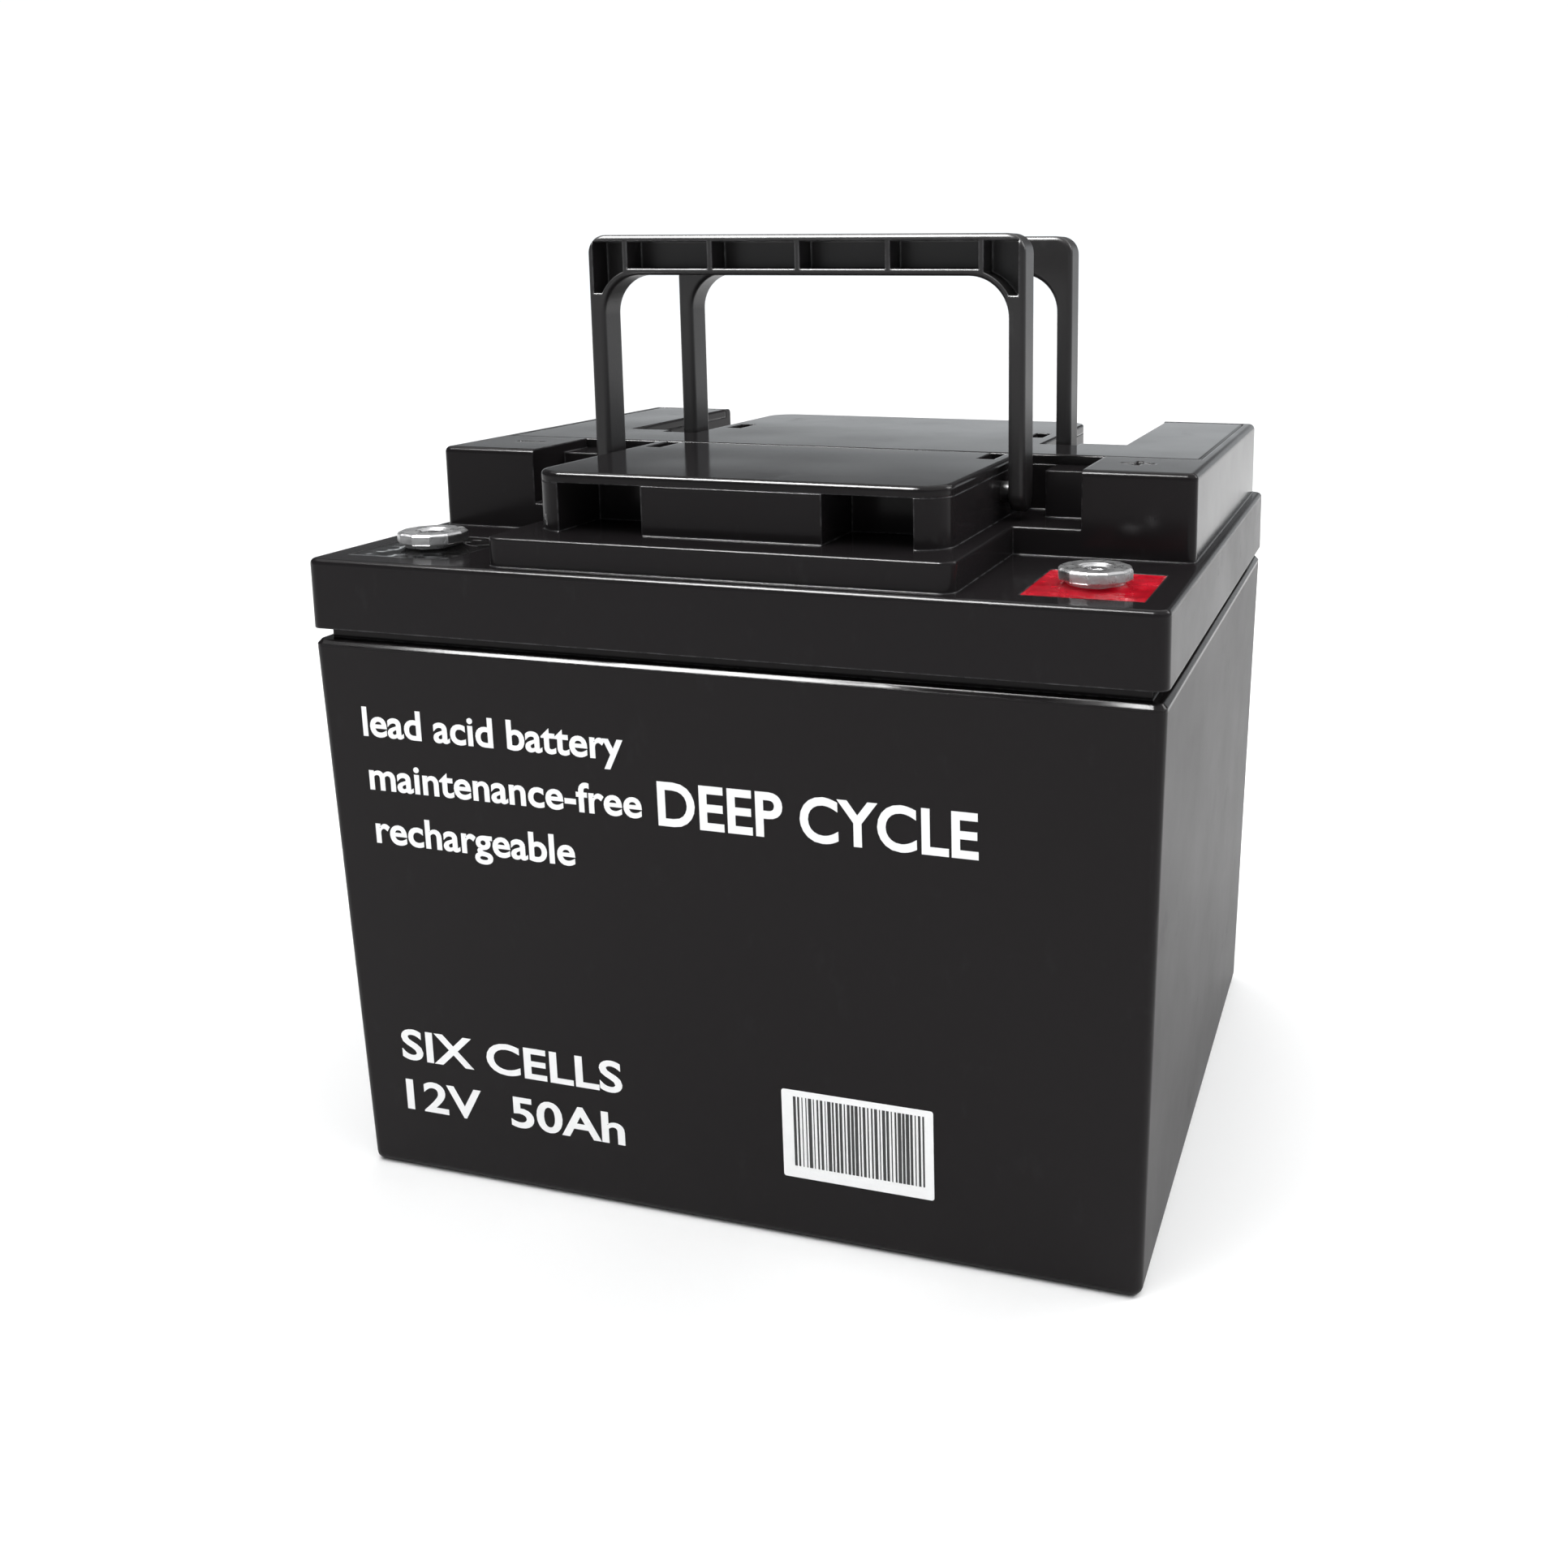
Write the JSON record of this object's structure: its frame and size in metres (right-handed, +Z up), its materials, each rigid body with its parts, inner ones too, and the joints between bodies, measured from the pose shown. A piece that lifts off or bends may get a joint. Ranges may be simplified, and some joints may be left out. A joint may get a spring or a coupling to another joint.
{
  "type": "deep cycle battery",
  "caption": "Sealed lead-acid deep cycle battery with a drafted black case, stepped lid, two folding carrying handles and threaded terminals",
  "frame": {"origin": "middle of the base, on the surface that the battery stands on", "axes": "+X to the right along the front, -Y out of the front where the terminals are, +Z up"},
  "size_m": [0.197, 0.165, 0.2225],
  "materials": {
    "case_plastic": "moulded black ABS, polished, with a fine texture",
    "lid_plastic": "moulded black ABS, polished",
    "cover_plastic": "moulded black ABS, polished",
    "handle_plastic": "moulded black polypropylene, satin",
    "plated_metal": "tin-plated brass, turned",
    "lead": null,
    "positive_plate": "lead grid with brown paste",
    "negative_plate": "lead grid with grey paste",
    "glass_mat": "white absorbed glass mat",
    "sealing_resin": "black epoxy bead",
    "red_resin": "cast red epoxy",
    "black_resin": "cast black epoxy",
    "seal_rubber": "soft black rubber"
  },
  "bodies": {
    "root": {"container": "case_plastic", "sealing_resin": "sealing_resin", "lid": "lid_plastic", "front_cover": "cover_plastic", "rear_cover": "cover_plastic", "positive_terminal": "plated_metal", "positive_post": "lead", "positive_terminal_ring": "seal_rubber", "positive_terminal_resin": "red_resin", "negative_terminal": "plated_metal", "negative_post": "lead", "negative_terminal_ring": "seal_rubber", "negative_terminal_resin": "black_resin", "valve_cap_1": "seal_rubber", "cell_1_positive_plates": "positive_plate", "cell_1_negative_plates": "negative_plate", "cell_1_separators": "glass_mat", "cell_1_positive_strap": "lead", "cell_1_negative_strap": "lead", "valve_cap_2": "seal_rubber", "cell_2_positive_plates": "positive_plate", "cell_2_negative_plates": "negative_plate", "cell_2_separators": "glass_mat", "cell_2_positive_strap": "lead", "cell_2_negative_strap": "lead", "valve_cap_3": "seal_rubber", "cell_3_positive_plates": "positive_plate", "cell_3_negative_plates": "negative_plate", "cell_3_separators": "glass_mat", "cell_3_positive_strap": "lead", "cell_3_negative_strap": "lead", "valve_cap_4": "seal_rubber", "cell_4_positive_plates": "positive_plate", "cell_4_negative_plates": "negative_plate", "cell_4_separators": "glass_mat", "cell_4_positive_strap": "lead", "cell_4_negative_strap": "lead", "valve_cap_5": "seal_rubber", "cell_5_positive_plates": "positive_plate", "cell_5_negative_plates": "negative_plate", "cell_5_separators": "glass_mat", "cell_5_positive_strap": "lead", "cell_5_negative_strap": "lead", "valve_cap_6": "seal_rubber", "cell_6_positive_plates": "positive_plate", "cell_6_negative_plates": "negative_plate", "cell_6_separators": "glass_mat", "cell_6_positive_strap": "lead", "cell_6_negative_strap": "lead", "partition_welds": "lead"},
    "front_bail": {"front_handle": "handle_plastic"},
    "rear_bail": {"rear_handle": "handle_plastic"}
  },
  "joints": [
    {"name": "front_handle_fold", "type": "hinge", "parent": "root", "child": "front_bail", "pos_m": [0, -0.0235, 0.163], "axis": [1, 0, 0], "range_deg": [0, 90]},
    {"name": "rear_handle_fold", "type": "hinge", "parent": "root", "child": "rear_bail", "pos_m": [0, 0.0235, 0.163], "axis": [-1, 0, 0], "range_deg": [0, 90]}
  ]
}
